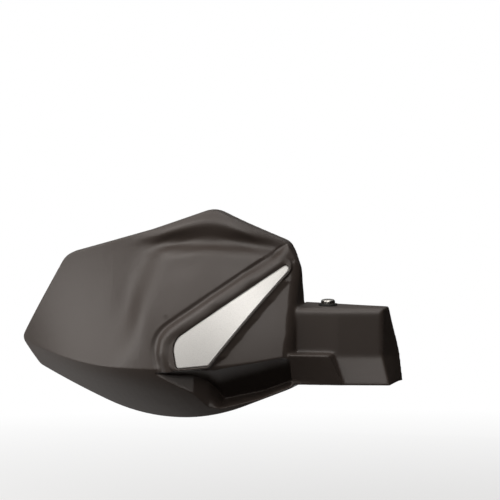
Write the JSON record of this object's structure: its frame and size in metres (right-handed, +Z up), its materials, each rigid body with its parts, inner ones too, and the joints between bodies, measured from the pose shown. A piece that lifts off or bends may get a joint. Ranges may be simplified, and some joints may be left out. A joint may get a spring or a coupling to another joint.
{
  "type": "motorcycle hand guard",
  "caption": "Moulded black hand guard for the right end of a motorcycle handlebar, with a silver trim panel, an inboard hood, a bar clamp and a bar-end fixing.",
  "frame": {"origin": "on the handlebar axis, at the middle of the clamp's bore", "axes": "+X inboard along the handlebar, -Y forwards, +Z up"},
  "size_m": [0.2946, 0.135, 0.1549],
  "materials": {
    "black_abs": "fine moulded grain, mid black",
    "silver_paint": "silver paint on moulded plastic",
    "zinc_steel": "bright zinc plate",
    "rubber": "moulded rubber",
    "black_steel": "black powder coat",
    "cast_aluminium": "as cast, tumbled",
    "brass": "turned",
    "weight_steel": "black oxide"
  },
  "bodies": {
    "root": {"guard_shell": "black_abs", "trim_panel": "silver_paint", "trim_push_nuts": "zinc_steel", "hood_screw": "zinc_steel", "hood_nut": "zinc_steel", "bracket_washers": "zinc_steel", "bracket_screws": "zinc_steel", "clamp_washers": "zinc_steel", "clamp_screws": "zinc_steel", "strap_washers": "zinc_steel", "strap_screws": "zinc_steel", "bar_end_washer": "zinc_steel", "bar_end_bolt": "zinc_steel", "hood_washer": "rubber", "expander_sleeve": "rubber", "inner_bracket": "black_steel", "end_strap": "black_steel", "clamp_upper": "cast_aluminium", "clamp_lower": "cast_aluminium", "expander_nut": "cast_aluminium", "boss_inserts": "brass", "bar_end_weight": "weight_steel"}
  },
  "joints": []
}
